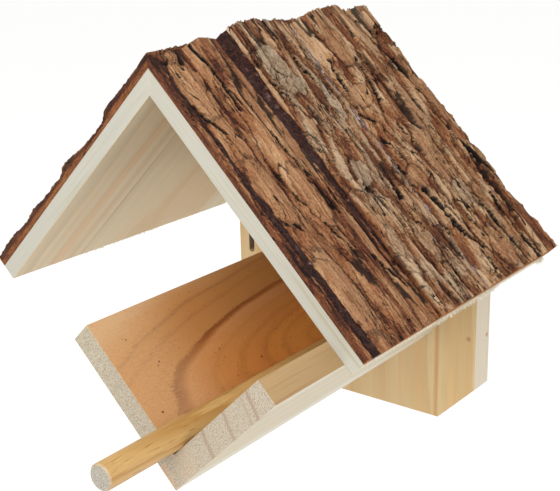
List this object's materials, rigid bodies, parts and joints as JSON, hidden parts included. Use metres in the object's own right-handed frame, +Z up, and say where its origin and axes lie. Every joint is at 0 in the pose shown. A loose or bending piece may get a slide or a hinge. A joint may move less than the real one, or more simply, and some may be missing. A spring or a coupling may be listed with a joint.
{
  "type": "peanut butter jar holder",
  "caption": "Bark-roofed wooden bird feeder with a V-shaped cradle that holds a jar of peanut butter on its side, a back board with strap slots and a round perch.",
  "frame": {"origin": "back face of the back board, midway between the two strap slots", "axes": "+Z up along the back board, +Y backwards into the wall or tree, -Y the front with the perch, +X to the right seen from the front"},
  "size_m": [0.2743, 0.307, 0.2653],
  "materials": {
    "pine": "planed, bare",
    "dowel": "smooth, bare",
    "bark": "rough, natural",
    "glue": "glossy, set",
    "brads": "bright",
    "screws": "zinc plated"
  },
  "bodies": {
    "root": {"back_board": "pine", "roof_board_left": "pine", "roof_board_right": "pine", "cradle_side": "pine", "cradle_floor": "pine", "perch": "dowel", "bark_right_1": "bark", "bark_right_2": "bark", "bark_right_3": "bark", "bark_right_4": "bark", "bark_right_5": "bark", "bark_left_1": "bark", "bark_left_2": "bark", "bark_left_3": "bark", "bark_left_4": "bark", "bark_left_5": "bark", "bark_glue_right": "glue", "bark_glue_left": "glue", "ridge_brads": "brads", "roof_brads_left": "brads", "roof_brads_right": "brads", "cradle_brads": "brads", "side_screws": "screws", "floor_screws": "screws"}
  },
  "joints": []
}
